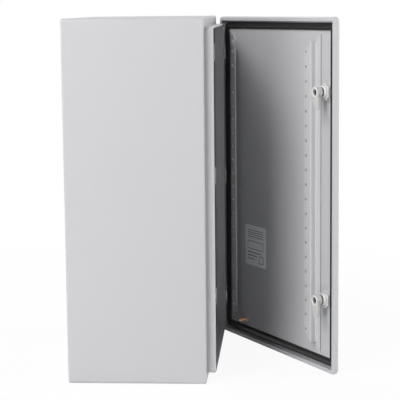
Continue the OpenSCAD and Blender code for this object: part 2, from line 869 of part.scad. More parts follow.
lock_housing(lock_heights[0]);  // lock_housing_upper
lock_housing(lock_heights[1]);  // lock_housing_lower
lock_seal(lock_heights[0]);  // lock_seal_upper
lock_seal(lock_heights[1]);  // lock_seal_lower
lock_nut(lock_heights[0]);  // lock_nut_upper
lock_nut(lock_heights[1]);  // lock_nut_lower
lock_spindle(lock_heights[0]);  // lock_spindle_upper
lock_spindle(lock_heights[1]);  // lock_spindle_lower
lock_cam(lock_heights[0]);  // lock_cam_upper
lock_cam(lock_heights[1]);  // lock_cam_lower
cam_screw(lock_heights[0]);  // cam_screw_upper
cam_screw(lock_heights[1]);  // cam_screw_lower
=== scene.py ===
"""Looks of an electrical cabinet with its door open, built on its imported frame."""

import json
import math

import bmesh
import bpy
import numpy as np
from bpy.props import FloatProperty, FloatVectorProperty, IntProperty, PointerProperty
from mathutils import Matrix, Vector


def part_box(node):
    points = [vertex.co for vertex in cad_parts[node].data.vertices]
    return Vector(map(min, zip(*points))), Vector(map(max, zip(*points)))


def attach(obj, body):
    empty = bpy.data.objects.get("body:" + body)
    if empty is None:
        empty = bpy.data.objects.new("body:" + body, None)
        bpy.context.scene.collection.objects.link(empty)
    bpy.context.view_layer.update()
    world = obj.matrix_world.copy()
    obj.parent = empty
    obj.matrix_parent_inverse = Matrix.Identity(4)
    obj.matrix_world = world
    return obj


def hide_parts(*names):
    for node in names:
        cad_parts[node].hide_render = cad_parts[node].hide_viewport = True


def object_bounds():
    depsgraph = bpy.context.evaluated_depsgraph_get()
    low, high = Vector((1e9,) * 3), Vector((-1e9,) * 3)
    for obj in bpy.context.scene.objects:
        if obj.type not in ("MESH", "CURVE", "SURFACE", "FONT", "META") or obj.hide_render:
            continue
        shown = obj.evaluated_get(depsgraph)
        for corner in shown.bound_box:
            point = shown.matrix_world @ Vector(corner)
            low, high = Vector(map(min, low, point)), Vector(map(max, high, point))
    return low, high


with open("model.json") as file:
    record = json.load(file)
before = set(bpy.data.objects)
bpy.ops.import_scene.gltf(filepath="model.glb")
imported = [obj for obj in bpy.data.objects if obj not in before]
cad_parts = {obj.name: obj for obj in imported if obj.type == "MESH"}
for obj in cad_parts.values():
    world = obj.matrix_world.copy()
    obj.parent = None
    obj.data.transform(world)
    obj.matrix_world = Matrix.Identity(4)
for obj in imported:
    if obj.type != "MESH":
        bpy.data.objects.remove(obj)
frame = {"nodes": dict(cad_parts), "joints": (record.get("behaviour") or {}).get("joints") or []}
CAD_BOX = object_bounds()

bl_info = {
    "name": "Electrical cabinet looks",
    "version": (1, 0, 0),
    "blender": (4, 5, 0),
    "location": "View3D > Sidebar > Cabinet",
    "description": "Finishes and fine pieces for a wall cabinet with a hinged door",
    "category": "Object",
}

JOINTS = {joint["name"]: joint for joint in frame["joints"]}
MM = 0.001
UP = np.array([0.0, 0.0, 1.0])
# On the open door: off its inner skin, and across it from the hinge edge to the free edge
DOOR_OFF = np.array(JOINTS["upper_cam_turn"]["axis"], float)
DOOR_ACROSS = np.cross(UP, DOOR_OFF)
DOOR_TURN = math.atan2(-DOOR_OFF[0], DOOR_OFF[1])
# Foamed seal: width of its frame, width of the strip, outer radius of the corners, and the heights
# of its crests and of the bed of its groove
SEAL_WIDE, SEAL_STRIP, SEAL_CORNER = 0.377, 0.0125, 0.013
SEAL_CREST, SEAL_BED = 0.0046, 0.0034
# End of the cams' hubs off the door's inner skin, and the chamfer round it
HUB_END, HUB_CHAMFER = 0.0263, 0.0005
# Nuts: width across the flats, and radius of the bore
LOCK_NUT, LARGE_NUT, SMALL_NUT = (0.027, 0.0111), (0.013, 0.0041), (0.01, 0.0031)
# Metals: roughness from and to, and how metallic
METALS = {
    "zinc": ((0.3, 0.48), 1.0),
    "cast": ((0.48, 0.64), 0.15),
    "steel": ((0.22, 0.4), 1.0),
    "blackened": ((0.35, 0.5), 0.5),
    "copper": ((0.25, 0.42), 1.0),
    "collar": ((0.35, 0.5), 0.2),
}
# Rails: tone of the painted light on their cut edges and hole walls, beside the rest of the coat:
# # a painted highlight on the hinge side rail, painted shade on the lock side rail
RAIL_PAINTED_LIGHT = {"door_rail_hinge_side": 1.5, "door_rail_lock_side": 0.5}
# Lamps: degrees round from the left side towards the rear, degrees above the horizon, and size
LAMPS = {
    "high": (35, 47, 1.5),
    "side": (31, 5, 1.5),
    "front": (-95, 14, 1.2),
    "rear": (140, 35, 1.5),
}


def colour(name, description, value):
    """A colour setting."""
    return FloatVectorProperty(
        name=name, description=description, subtype="COLOR", size=3, min=0, max=1, default=value
    )


def length(name, description, value):
    """A length setting in metres."""
    return FloatProperty(name=name, description=description, unit="LENGTH", min=0, default=value)


def power(name, description, value):
    """A lamp's power in watts."""
    return FloatProperty(name=name, description=description, unit="POWER", min=0, default=value)


class CabinetColours(bpy.types.PropertyGroup):
    """Colours of the finishes."""

    paint: colour("Powder coat", "Paint on the body and door", (0.565, 0.565, 0.583))
    # The rail coat is paler than the door's paint as painted light, for the extra light falling on
    # the rails' raised flanges
    rail: colour("Rail coat", "Paler paint on the door's rails", (0.605, 0.605, 0.62))
    foam: colour("Foam", "Foamed seal round the door", (0.02, 0.02, 0.0205))
    zinc: colour("Zinc", "Plated hinges, nuts, studs and spacers", (0.74, 0.74, 0.73))
    cast: colour("Cast zinc", "Matt cast lock barrels, nuts and cams", (0.69, 0.688, 0.682))
    steel: colour("Steel", "Pins, screws and spindles", (0.56, 0.56, 0.57))
    blackened: colour("Blackened steel", "Screws in the cams", (0.07, 0.07, 0.075))
    copper: colour("Copper", "Earth studs", (0.47, 0.27, 0.165))
    galvanised: colour("Galvanised", "Mounting plate and gland plate", (0.6, 0.62, 0.63))
    rubber: colour("Rubber", "Flat seals", (0.02, 0.02, 0.02))
    label: colour("Label", "Film of the blank label", (0.96, 0.97, 0.985))
    ink: colour("Label lines", "Ruled lines on the label", (0.16, 0.17, 0.18))
    collar: colour("Collar", "Collar at the foot of the door's earth stud", (0.8, 0.81, 0.8))
    floor: colour("Floor", "Pale studio floor", (0.9, 0.9, 0.9))


class CabinetSizes(bpy.types.PropertyGroup):
    """Sizes of the fine pieces."""

    peel: length("Orange peel", "Height of the powder coat's texture", 0.00004)
    hole_radius: length("Hole radius", "Radius of the holes in the rails", 0.00225)
    hole_pitch: length("Hole pitch", "Distance between neighbouring holes in a rail", 0.025)
    pitch_small: length("Small thread pitch", "Pitch of the M6 threads", 0.001)
    pitch_large: length("Large thread pitch", "Pitch of the M8 threads", 0.00125)
    barrel_pitch: length("Barrel thread pitch", "Pitch of the lock barrel's thread", 0.0015)
    edge_round: length("Edge round", "Rounding of the cam's edges", 0.0007)
    head_round: length("Head round", "Rounding of the lock head's edge", 0.0012)
    foam_outer: length("Outer crest", "From the foam's outer edge to its outer crest", 0.0015)
    foam_inner: length("Inner crest", "From the foam's outer edge to its inner crest", 0.008)
    foam_lean: length("Crest shift", "Shift of the inner crest along the free edge", 0.0032)
    foam_flank: length("Groove flank", "Reach of the ridges' flanks into the groove", 0.0011)
    foam_wave: length("Foam wave", "Unevenness along the foam's ridges", 0.00009)
    around: IntProperty(name="Steps around", description="Points round each turned piece",
                        default=72, min=24, max=144)


class CabinetStage(bpy.types.PropertyGroup):
    """Camera and light."""

    lens: FloatProperty(name="Lens", description="Focal length on a 36 mm sensor", unit="CAMERA",
                        default=126.329, min=10, max=500)
    place: FloatVectorProperty(name="Camera", description="Place of the camera",
                               subtype="TRANSLATION", unit="LENGTH", size=3,
                               default=(-2.44534, -0.36752, 0.31811))
    heading: FloatProperty(name="Heading", description="Turn of the camera round the cabinet",
                           subtype="ANGLE", default=math.radians(-86.287))
    tilt: FloatProperty(name="Tilt", description="Height of the view above the horizon",
                        subtype="ANGLE", default=math.radians(7.871))
    roll: FloatProperty(name="Roll", description="Lean of the picture", subtype="ANGLE",
                        default=math.radians(-0.567))
    ambient: FloatProperty(name="Ambient", description="Strength of the light from all round",
                           default=0.24, min=0, max=3)
    middle: FloatVectorProperty(name="Middle", description="Point that the lamps look at",
                                subtype="TRANSLATION", unit="LENGTH", size=3,
                                default=(-0.05, -0.25, 0.0))
    lamp_distance: length("Lamp distance", "From the lamps to the point they look at", 3.2)
    high_power: power("High light", "Power of the raised light at the left and rear", 52)
    side_power: power("Side light", "Power of the low light at the left and rear", 35)
    front_power: power("Front light", "Power of the light in front", 62)
    rear_power: power("Rear light", "Power of the light at the right and rear", 22)


def grid_faces(rows, cols, wrap_rows):
    """Quads between neighbouring points of a grid: the last column joins back to the first, and
    where the rows wrap, so does the last row."""
    r, c = np.meshgrid(np.arange(rows - (not wrap_rows)), np.arange(cols), indexing="ij")
    r2, c2 = (r + 1) % rows, (c + 1) % cols
    return np.stack([r * cols + c, r * cols + c2, r2 * cols + c2, r2 * cols + c], -1).reshape(-1, 4)


def make_piece(name, grids, material, body, node, wrap_rows=True, sharp=35):
    """One object from one or more grids of points, riding on a body in place of its CAD node; edges
    that turn by more than the sharp angle, in degrees, stay sharp."""
    points, faces, start = [], [], 0
    for grid in grids:
        rows, cols = grid.shape[:2]
        points.append(grid.reshape(-1, 3))
        faces.append(grid_faces(rows, cols, wrap_rows) + start)
        start += rows * cols
    mesh = bpy.data.meshes.new(name)
    mesh.from_pydata(np.concatenate(points).tolist(), [], np.concatenate(faces).tolist())
    shape = bmesh.new()
    shape.from_mesh(mesh)
    bmesh.ops.remove_doubles(shape, verts=shape.verts, dist=1e-7)
    bmesh.ops.recalc_face_normals(shape, faces=shape.faces)
    shape.to_mesh(mesh)
    shape.free()
    mesh.polygons.foreach_set("use_smooth", np.ones(len(mesh.polygons), bool))
    mesh.set_sharp_from_angle(angle=math.radians(sharp))
    mesh.materials.append(material)
    piece = bpy.data.objects.new(name, mesh)
    bpy.context.scene.collection.objects.link(piece)
    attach(piece, body)
    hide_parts(node)


def points_of(node):
    """Every point of a CAD node, shape (count, 3)."""
    mesh = frame["nodes"][node].data
    place = np.empty(3 * len(mesh.vertices), np.float32)
    mesh.vertices.foreach_get("co", place)
    return place.reshape(-1, 3)


def solids_of(node):
    """Lowest and highest corners of each separate solid of a CAD node, shape (count, 2, 3): points
    at the same place are one point, and each point takes the lowest number among those it is
    joined to."""
    mesh, place = frame["nodes"][node].data, points_of(node)
    edges = np.empty(2 * len(mesh.edges), np.int32)
    mesh.edges.foreach_get("vertices", edges)
    _, point = np.unique(np.round(place / 1e-6), axis=0, return_inverse=True)
    point = point.reshape(-1)
    first, second = point[edges.reshape(-1, 2)].T
    group = np.arange(point.max() + 1)
    while True:
        low = np.minimum(group[first], group[second])
        after = group.copy()
        np.minimum.at(after, first, low)
        np.minimum.at(after, second, low)
        after = after[after]
        if np.array_equal(after, group):
            break
        group = after
    owner = group[point]
    solids = [place[owner == number] for number in np.unique(owner)]
    return np.array([[solid.min(0), solid.max(0)] for solid in solids], float)


def stand(local, origin, axis):
    """Turns points from a local frame, its z along an axis and its y as near upwards as can be."""
    axis = np.asarray(axis, float) / np.linalg.norm(axis)
    high = UP if abs(axis[2]) < 0.9 else np.array([0.0, 1.0, 0.0])
    across = np.cross(high, axis)
    across /= np.linalg.norm(across)
    return np.asarray(origin) + local @ np.stack([across, np.cross(axis, across), axis])


def circle(steps):
    """Evenly spread angles of one turn."""
    return np.linspace(0, 2 * math.pi, steps, endpoint=False)


def around_axis(profile, angle):
    """A closed profile of points (radius, height) carried round an axis, one copy at each angle; a
    radius or height may be an array that changes with the angle."""
    radius, height = (np.stack([point[k] + 0 * angle for point in profile], -1) for k in (0, 1))
    return np.stack([radius * np.cos(angle)[:, None], radius * np.sin(angle)[:, None], height], -1)


def hex_nut(flats, bore, height, steps):
    """A chamfered nut: the hexagon's radius f / (2 cos a), a from the middle of each flat, its
    corners cut by a cone of 30 degrees at both faces, and a plain bore."""
    angle = circle(steps)
    corner = flats / 2 / np.cos((angle + math.pi / 6) % (math.pi / 3) - math.pi / 6)
    ring, lead = 0.97 * flats / 2, 0.06 * bore
    drop = (corner - ring) * math.tan(math.radians(30))
    return around_axis([(bore, lead), (bore + lead, 0), (ring, 0), (corner, drop),
                        (corner, height - drop), (ring, height), (bore + lead, height),
                        (bore, height - lead)], angle)


def threaded_stud(radius, height, pitch, steps):
    """A threaded rod: radius less a triangle wave of (height / pitch - angle / turn), its tip
    tapered, and each end closed at its middle."""
    rows = max(8, int(4 * height / pitch))
    level = np.linspace(0, height, rows)[:, None]
    angle = circle(steps)[None, :]
    wave = 2 * np.abs((level / pitch - angle / (2 * math.pi)) % 1 - 0.5)
    depth, taper = 0.5 * pitch, 1.2 * pitch
    tip = np.clip((level - height + taper) / taper, 0, 1)
    r = radius - depth * np.maximum(wave, tip)
    side = np.stack([r * np.cos(angle), r * np.sin(angle), level + 0 * angle], -1)
    foot, end = np.zeros((2, 1, steps, 3))
    end[..., 2] = height
    return np.concatenate([foot, side, end])


class Nodes:
    """An emptied node tree, and short ways to add to it."""

    def __init__(self, tree):
        self.tree = tree
        tree.nodes.clear()

    def add(self, kind, settings=None, **sockets):
        """A node with its settings, and with values or links on its sockets, named or numbered."""
        node = self.tree.nodes.new("ShaderNode" + kind)
        for key, value in (settings or {}).items():
            setattr(node, key, value)
        for key, value in sockets.items():
            which = int(key[1:]) if key[1:].isdigit() else key.replace("_", " ")
            self.put(node.inputs[which], value)
        return node

    def put(self, socket, value):
        """Links an output to a socket, or sets the socket's own value."""
        if isinstance(value, bpy.types.NodeSocket):
            self.tree.links.new(value, socket)
        else:
            socket.default_value = value

    def seen(self):
        """1 for rays from the camera, mirrors and glass, and 0 for light that falls on things."""
        ray = self.add("LightPath").outputs
        mirror = self.math("MAXIMUM", ray["Is Glossy Ray"], ray["Is Transmission Ray"])
        return self.math("MAXIMUM", ray["Is Camera Ray"], mirror)

    def math(self, operation, a, b=0.0, c=0.0):
        """One sum on numbers or outputs."""
        return self.add("Math", {"operation": operation}, _0=a, _1=b, _2=c).outputs[0]

    def span(self, value, low, high):
        """A value from 0 to 1 spread between two numbers."""
        return self.add("MapRange", Value=value, To_Min=low, To_Max=high).outputs[0]

    def fade(self, value, start, end, low=0.0, high=1.0):
        """Goes smoothly from low, where a value is at start, to high, where it is at end."""
        return self.add("MapRange", {"interpolation_type": "SMOOTHSTEP"}, Value=value,
                        From_Min=start, From_Max=end, To_Min=low, To_Max=high).outputs[0]


class Finish(Nodes):
    """A material of one main colour with its shader, patterned on Object coordinates."""

    def __init__(self, name, rgb):
        self.rgb = rgb
        self.material = bpy.data.materials.new(name)
        self.material.use_nodes = True
        super().__init__(self.material.node_tree)
        self.place = self.add("TexCoord").outputs["Object"]
        self.shader = self.add("BsdfPrincipled")
        self.out = self.add("OutputMaterial", Surface=self.shader.outputs[0])

    def set(self, **sockets):
        """Values or links on the shader."""
        for key, value in sockets.items():
            self.put(self.shader.inputs[key.replace("_", " ")], value)

    def along(self, axis):
        """Distance along an axis from the origin."""
        dot = self.add("VectorMath", {"operation": "DOT_PRODUCT"}, _0=self.place, _1=tuple(axis))
        return dot.outputs["Value"]

    def apart(self, first, second):
        """Length of the diagonal of two distances."""
        return self.math("SQRT", self.math("ADD", self.math("MULTIPLY", first, first),
                                           self.math("MULTIPLY", second, second)))

    def noise(self, scale, detail):
        """Cloudy noise, its scale in repeats per metre."""
        return self.add("TexNoise", Vector=self.place, Scale=scale, Detail=detail).outputs[0]

    def cells(self, scale, output):
        """Cell noise, its scale in cells per metre."""
        return self.add("TexVoronoi", Vector=self.place, Scale=scale).outputs[output]

    def blend(self, factor, first, second):
        """A colour between two colours."""
        mix = self.add("Mix", {"data_type": "RGBA"}, _0=factor)
        self.put(mix.inputs[6], first)
        self.put(mix.inputs[7], second)
        return mix.outputs[2]

    def tone(self, factor, low, high):
        """The main colour, between two shades of it."""
        return self.blend(factor, shade(self.rgb, low), shade(self.rgb, high))

    def bump(self, height, distance, strength, before=None):
        """Bumps of a real height in metres."""
        node = self.add("Bump", Height=height, Distance=distance, Strength=strength)
        if before is not None:
            self.put(node.inputs["Normal"], before)
        return node.outputs[0]


def shade(rgb, factor=1.0):
    """A colour made lighter or darker, with alpha."""
    return tuple(min(1.0, v * factor) for v in rgb) + (1.0,)


def painted_light_edges(n, rail, sizes):
    """Mask for the rails' painted light: 1 on a rail's furthest edge across the door and on the
    walls of its holes, and 0 elsewhere. The holes are found by the distance to the nearest one's
    axis: nearly all of the raised flange's inner points belong to them, so their row is midway
    between its sides, and they begin at the mean direction of exp(2 pi i z / pitch)."""
    radius, pitch, margin = sizes.hole_radius, sizes.hole_pitch, sizes.hole_radius / 10
    across, up, off = (n.along(axis) for axis in (DOOR_ACROSS, UP, DOOR_OFF))
    place = points_of(rail)
    high, beside = place @ DOOR_OFF, place @ DOOR_ACROSS
    top, edge = high.max(), beside.max()
    flange, beside = place[high > top - margin], beside[high > top - margin]
    inner = (beside > beside.min() + margin) & (beside < beside.max() - margin)
    row = np.percentile(beside[inner], (2, 98)).mean()
    turns = 2 * math.pi / pitch
    first = np.angle(np.exp(1j * turns * flange[inner, 2]).mean()) / turns
    over = n.math("PINGPONG", n.math("SUBTRACT", up, first), pitch / 2)
    far = n.apart(over, n.math("SUBTRACT", across, row))
    near = n.fade(far, radius + margin / 2, radius + 2 * margin, 1, 0)
    wall = n.math("MULTIPLY", near, n.fade(off, top - radius, top - 0.75 * radius))
    rim = n.fade(n.math("ABSOLUTE", n.math("SUBTRACT", across, edge)), margin / 2, margin, 1, 0)
    return n.math("MAXIMUM", wall, rim)


def powder_coat(n, context):
    """Semi-matt powder coat: a fine orange peel, faint drift and flecks of tone and uneven gloss;
    on the rails' cut edges and hole walls, painted highlight on the hinge side rail and painted
    shade on the lock side rail."""
    sizes = context.scene.cabinet_sizes
    tone = n.tone(n.noise(5, 2), 0.99, 1.01)
    if n.material.name == "rail":
        # Painted light: the hinge side rail's far edge and hole walls are lightened as a painted
        # highlight, the lock side rail's are darkened as painted shade
        for rail, factor in RAIL_PAINTED_LIGHT.items():
            tone = n.blend(painted_light_edges(n, rail, sizes), tone, shade(n.rgb, factor))
    fleck = n.span(n.noise(2200, 2), 0.0, 0.05)
    n.set(Base_Color=n.blend(fleck, tone, shade(n.rgb, 0.8)))
    n.set(Roughness=n.span(n.noise(900, 2), 0.42, 0.58))
    n.set(Normal=n.bump(n.noise(700, 3), sizes.peel, 0.5), Specular_IOR_Level=0.3)


def metal(n, context):
    """Plated, turned or cast metal: cloudy tone, fine grain and uneven gloss; cast hubs are
    machined bright on their ends."""
    rough, metallic = METALS[n.material.name]
    tone = n.tone(n.noise(140, 4), 0.88, 1.08)
    if n.material.name == "cast":
        end = np.array(JOINTS["upper_cam_turn"]["pos_m"]) @ DOOR_OFF + HUB_END
        bright = n.fade(n.along(DOOR_OFF), end - HUB_CHAMFER, end - 0.6 * HUB_CHAMFER)
        tone = n.blend(bright, tone, shade(n.rgb, 1.2))
    n.set(Base_Color=tone, Metallic=metallic)
    n.set(Roughness=n.span(n.noise(420, 3), *rough))
    n.set(Normal=n.bump(n.noise(2400, 2), 0.00002, 0.4))


def galvanised_sheet(n, context):
    """Galvanised sheet: crystal spangles of differing tone and gloss."""
    spangle = n.add("SeparateColor", _0=n.cells(130, "Color")).outputs
    n.set(Base_Color=n.tone(spangle[0], 0.9, 1.06), Metallic=1.0)
    n.set(Roughness=n.span(spangle[1], 0.34, 0.46))
    n.set(Normal=n.bump(n.noise(900, 3), 0.00002, 0.4))


def foam_seal(n, context):
    """Black foamed seal: a skin with fine closed cells and a dull sheen."""
    skin = n.noise(260, 3)
    n.set(Base_Color=n.tone(skin, 0.7, 1.5))
    n.set(Roughness=n.span(skin, 0.3, 0.46), Specular_IOR_Level=0.25)
    n.set(Normal=n.bump(n.cells(1300, "Distance"), 0.00012, 0.5, n.bump(skin, 0.00015, 0.4)))


def flat_rubber(n, context):
    """Black sheet rubber with a faint bloom."""
    bloom = n.noise(90, 4)
    n.set(Base_Color=n.tone(bloom, 0.8, 1.6))
    n.set(Roughness=n.span(bloom, 0.6, 0.85), Normal=n.bump(n.noise(1500, 2), 0.00004, 0.5))


def label_film(n, context):
    """White film with generic ruled rows, a write-on frame and a box, on the label's own axes."""
    low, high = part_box("rating_label")
    middle = Vector((np.array(low) + np.array(high)) / 2)
    back = Matrix.Rotation(-DOOR_TURN, 3, "Z")
    flat = n.add("Mapping", Vector=n.place, Location=tuple(back @ -middle),
                 Rotation=(0, 0, -DOOR_TURN))
    split = n.add("SeparateXYZ", _0=flat.outputs[0])
    x, y = n.math("MULTIPLY", split.outputs[0], -1.0), split.outputs[2]

    def box(x0, x1, y0, y1):
        """1 inside a box given in millimetres from the label's middle."""
        inside_x = n.math("COMPARE", x, (x0 + x1) / 2 * MM, (x1 - x0) / 2 * MM)
        inside_y = n.math("COMPARE", y, (y0 + y1) / 2 * MM, (y1 - y0) / 2 * MM)
        return n.math("MULTIPLY", inside_x, inside_y)

    def outline(x0, x1, y0, y1, line):
        """1 on the frame of a box."""
        hollow = box(x0 + line, x1 - line, y0 + line, y1 - line)
        return n.math("SUBTRACT", box(x0, x1, y0, y1), hollow)

    row = n.math("COMPARE", n.math("PINGPONG", y, 2.0 * MM), 0.0, 0.55 * MM)
    marks = n.math("MULTIPLY", row, box(-29, 29, 13, 29))
    for mark in (outline(-29, 29, -7, 8, 0.9), box(-29, 20, -14, -12.4), box(-29, 6, -20, -18.4),
                 box(-29, -2, -26, -24.4), outline(13, 29, -31, -17, 1.0)):
        marks = n.math("MAXIMUM", marks, mark)
    wear = n.noise(300, 3)
    ink = shade(context.scene.cabinet_colours.ink)
    n.set(Base_Color=n.blend(marks, n.tone(wear, 0.96, 1.0), ink))
    n.set(Roughness=n.span(wear, 0.35, 0.5), Normal=n.bump(n.noise(1200, 2), 0.00001, 0.4))


MAKERS = {
    "paint": powder_coat,
    "rail": powder_coat,
    "foam": foam_seal,
    "galvanised": galvanised_sheet,
    "rubber": flat_rubber,
    "label": label_film,
    **dict.fromkeys(METALS, metal),
}


def finish(context, name):
    """A finish by its colour's name, made when it is first asked for."""
    if name not in bpy.data.materials:
        MAKERS[name](Finish(name, getattr(context.scene.cabinet_colours, name)), context)
    return bpy.data.materials[name]


def finish_nodes(context, name, *nodes):
    """Gives CAD nodes a finish."""
    for node in nodes:
        slots = frame["nodes"][node].data.materials
        slots.clear()
        slots.append(finish(context, name))


def fastenings(context, group, axis, nut, pitch):
    """Threaded studs and chamfered nuts in the places of a group's CAD solids, along one axis."""
    stud_steps, nut_steps = 20, 48
    along = int(np.argmax(np.abs(axis)))
    zinc = finish(context, "zinc")
    studs, nuts = [], []
    for low, high in solids_of(f"{group}_studs"):
        size = high - low
        stud = threaded_stud(size[(along + 1) % 3] / 2, size[along], pitch, stud_steps)
        studs.append(stand(stud, (low + high) / 2 - axis * size[along] / 2, axis))
    for low, high in solids_of(f"{group}_nuts"):
        size = high - low
        foot = (low + high) / 2 - axis * size[along] / 2
        nuts.append(stand(hex_nut(*nut, size[along], nut_steps), foot, axis))
    make_piece(f"{group}_threads", studs, zinc, "cabinet", f"{group}_studs",
               wrap_rows=False, sharp=60)
    make_piece(f"{group}_hex_nuts", nuts, zinc, "cabinet", f"{group}_nuts", sharp=25)


class CABINET_OT_shells(bpy.types.Operator):
    """Powder coats the body, rear panel, door and rails"""

    bl_idname = "cabinet.shells"
    bl_label = "Powder coated sheet"

    def execute(self, context):
        finish_nodes(context, "paint", "body_shell", "rear_panel", "door_shell")
        finish_nodes(context, "rail", *RAIL_PAINTED_LIGHT)
        return {"FINISHED"}


class CABINET_OT_gasket(bpy.types.Operator):
    """Lays the foamed seal round the door: two soft ridges beside the groove that takes the lip"""

    bl_idname = "cabinet.gasket"
    bl_label = "Foamed door seal"

    def execute(self, context):
        sizes = context.scene.cabinet_sizes
        low, high = (np.array(corner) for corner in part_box("door_gasket"))
        middle = (low + high) / 2 - DOOR_OFF * SEAL_CREST / 2
        path = self.path(SEAL_WIDE / 2 - SEAL_CORNER, (high - low)[2] / 2 - SEAL_CORNER)
        inward, level, ridge = self.section(sizes, np.clip(np.cos(path[:, 2:]), 0, 1))
        out = np.stack([np.cos(path[:, 2]), np.sin(path[:, 2])], -1)[:, None, :]
        flat = path[:, None, :2] + out * (SEAL_CORNER - inward)[None, :, None]
        # The ridges sink a little here and there by two sines of the path's steps
        step = np.arange(len(path))[:, None]
        wave = sizes.foam_wave * (np.sin(step * 0.9) + 0.7 * np.sin(step * 2.3 + 1.1)) / 1.7
        rise = (level - ridge * np.abs(wave))[..., None]
        grid = middle + flat[..., :1] * DOOR_ACROSS + flat[..., 1:] * UP + rise * DOOR_OFF
        make_piece("door_seal", [grid], finish(context, "foam"), "door",
                   "door_gasket", sharp=60)
        return {"FINISHED"}

    def path(self, half_wide, half_tall):
        """Along each side, then a quarter turn about the corner's centre: rows of across, up and
        the angle of the outward direction."""
        tall_run, wide_run = np.linspace(-1, 1, 120), np.linspace(-1, 1, 80)
        bend = np.linspace(0, math.pi / 2, 14)[1:-1]
        sides = ((tall_run, half_wide, half_tall), (wide_run, half_tall, half_wide))
        legs = []
        for quarter in range(4):
            start = quarter * math.pi / 2
            out = np.array([math.cos(start), math.sin(start)])
            along = np.array([-out[1], out[0]])
            run, far, reach = sides[quarter % 2]
            side = out * far + run[:, None] * reach * along
            knee = np.tile(out * far + along * reach, (len(bend), 1))
            legs.append(np.concatenate([side, np.full((len(run), 1), start)], 1))
            legs.append(np.concatenate([knee, start + bend[:, None]], 1))
        return np.concatenate(legs)

    def section(self, sizes, free):
        """The section at each point of the path, x inwards from the outer edge: each ridge falls
        from its crest as one quarter of a superellipse into the groove, down to the flat bed, and
        as a longer one towards its own edge of the strip, a little past it. Along the door's free
        edge the inner crest is further in and the ridges are squarer. Gives x, the height, and how
        far up its ridge each point is."""
        x = SEAL_STRIP * (1 - np.cos(np.linspace(0, math.pi, 61))) / 2
        square, past = 2 + 2 * free, 1.033
        outer, inner = sizes.foam_outer, sizes.foam_inner + sizes.foam_lean * free
        flank = sizes.foam_flank
        first = np.abs(x - outer) / np.where(x < outer, past * outer, flank)
        second = np.abs(x - inner) / np.where(x < inner, flank, past * (SEAL_STRIP - inner))
        dome = np.clip(1 - np.minimum(first, second) ** square, 0, 1) ** (1 / square)
        bed = np.where((x > outer) & (x < inner), SEAL_BED, 0)
        height = np.maximum(SEAL_CREST * dome, bed)
        ridge = np.clip((height - SEAL_BED) / (SEAL_CREST - SEAL_BED), 0, 1)
        ends = ((0, 0), (1, 1))
        return np.pad(x, 1, mode="edge"), np.pad(height, ends), np.pad(ridge, ends)


